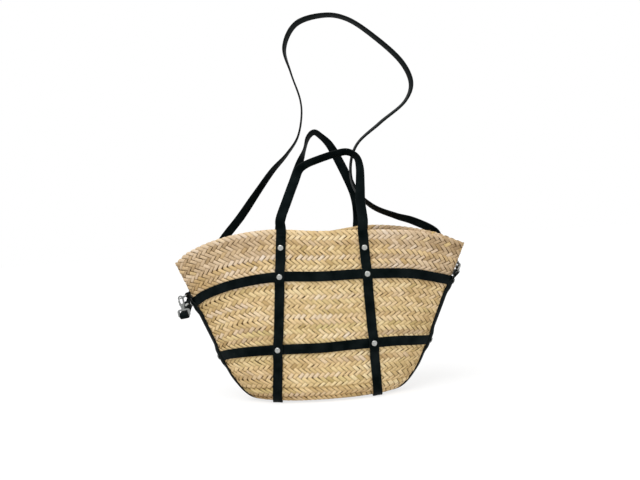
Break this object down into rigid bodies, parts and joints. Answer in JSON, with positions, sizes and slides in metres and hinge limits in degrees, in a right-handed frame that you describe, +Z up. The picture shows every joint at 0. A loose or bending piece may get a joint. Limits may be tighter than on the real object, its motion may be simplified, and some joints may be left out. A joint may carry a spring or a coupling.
{
  "type": "basket bag",
  "caption": "Open-topped plaited palm basket bag in a riveted leather strap harness, with folding grab handles and a long clip-on shoulder strap.",
  "frame": {"origin": "on the floor under the middle of the whole bag", "axes": "+Z up, +X along the mouth to the bag's right end seen from the front, -Y out of the front face"},
  "size_m": [0.51, 0.162, 0.6648],
  "materials": {
    "palm_plait": "dry plaited palm leaf strips, straw coloured with pinkish and greenish strips",
    "palm_edge": "palm strips whipped over the rim",
    "harness_leather": "smooth near-black leather, satin, burnished edges",
    "shoulder_leather": "smooth near-black leather, satin, a little thicker",
    "rivet_metal": "bright nickel-coloured domed rivet caps",
    "clip_metal": "bright nickel-coloured rings and swivel clips"
  },
  "bodies": {
    "basket": {"basket_base": "palm_plait", "basket_shell": "palm_plait", "rim_braid": "palm_edge", "upper_belt": "harness_leather", "lower_belt": "harness_leather", "left_cradle_strap": "harness_leather", "right_cradle_strap": "harness_leather", "side_strap": "harness_leather", "rivet_front_left_rim": "rivet_metal", "rivet_front_left_upper": "rivet_metal", "rivet_front_left_lower": "rivet_metal", "rivet_front_right_rim": "rivet_metal", "rivet_front_right_upper": "rivet_metal", "rivet_front_right_lower": "rivet_metal", "rivet_back_left_rim": "rivet_metal", "rivet_back_left_upper": "rivet_metal", "rivet_back_left_lower": "rivet_metal", "rivet_back_right_rim": "rivet_metal", "rivet_back_right_upper": "rivet_metal", "rivet_back_right_lower": "rivet_metal", "rivet_left_end_upper": "rivet_metal", "rivet_left_end_lower": "rivet_metal", "rivet_right_end_upper": "rivet_metal", "rivet_right_end_lower": "rivet_metal"},
    "front_handle": {"front_handle": "harness_leather"},
    "back_handle": {"back_handle": "harness_leather"},
    "shoulder": {"shoulder_strap": "shoulder_leather", "clip_swivel_left": "clip_metal", "clip_swivel_right": "clip_metal", "strap_rivet_left": "rivet_metal", "strap_rivet_right": "rivet_metal"},
    "ring_left": {"d_ring_left": "clip_metal"},
    "clip_left": {"clip_body_left": "clip_metal", "clip_pin_left": "clip_metal"},
    "trigger_left": {"clip_trigger_left": "clip_metal"},
    "ring_right": {"d_ring_right": "clip_metal"},
    "clip_right": {"clip_body_right": "clip_metal", "clip_pin_right": "clip_metal"},
    "trigger_right": {"clip_trigger_right": "clip_metal"}
  },
  "joints": [
    {"name": "front_handle_fold", "type": "hinge", "parent": "basket", "child": "front_handle", "pos_m": [0.00738, -0.0775, 0.29031], "axis": [0.9975, 0.0129, -0.0692], "range_deg": [-4, 165]},
    {"name": "back_handle_fold", "type": "hinge", "parent": "basket", "child": "back_handle", "pos_m": [0.00206, 0.07693, 0.2905], "axis": [0.9988, -0.0021, 0.0489], "range_deg": [-165, 4]},
    {"name": "shoulder_swing", "type": "hinge", "parent": "basket", "child": "shoulder", "pos_m": [-0.00265, 0.00464, 0.196], "axis": [0.9988, 0.0194, 0.045], "range_deg": [-4, 4]},
    {"name": "ring_left_swing", "type": "hinge", "parent": "basket", "child": "ring_left", "pos_m": [-0.23456, -0.0001, 0.19108], "axis": [0, 1, 0], "range_deg": [-3, 3]},
    {"name": "clip_left_swivel", "type": "hinge", "parent": "shoulder", "child": "clip_left", "pos_m": [-0.24455, -0.0001, 0.16777], "axis": [0.15, 0, -0.9887], "range_deg": [-6, 6]},
    {"name": "trigger_left_open", "type": "hinge", "parent": "clip_left", "child": "trigger_left", "pos_m": [-0.24936, -0.0001, 0.17483], "axis": [0, -1, 0], "range_deg": [-22, 0], "stiffness_Nm_per_rad": 0.02},
    {"name": "ring_right_swing", "type": "hinge", "parent": "basket", "child": "ring_right", "pos_m": [0.23768, 0.00004, 0.1987], "axis": [0, 1, 0], "range_deg": [-3, 3]},
    {"name": "clip_right_swivel", "type": "hinge", "parent": "shoulder", "child": "clip_right", "pos_m": [0.24121, 0.02271, 0.21818], "axis": [-0.0375, 0.7662, 0.6415], "range_deg": [-6, 6]},
    {"name": "trigger_right_open", "type": "hinge", "parent": "clip_right", "child": "trigger_right", "pos_m": [0.24494, 0.01778, 0.21229], "axis": [0.3642, -0.5873, 0.7228], "range_deg": [-22, 0], "stiffness_Nm_per_rad": 0.02}
  ]
}
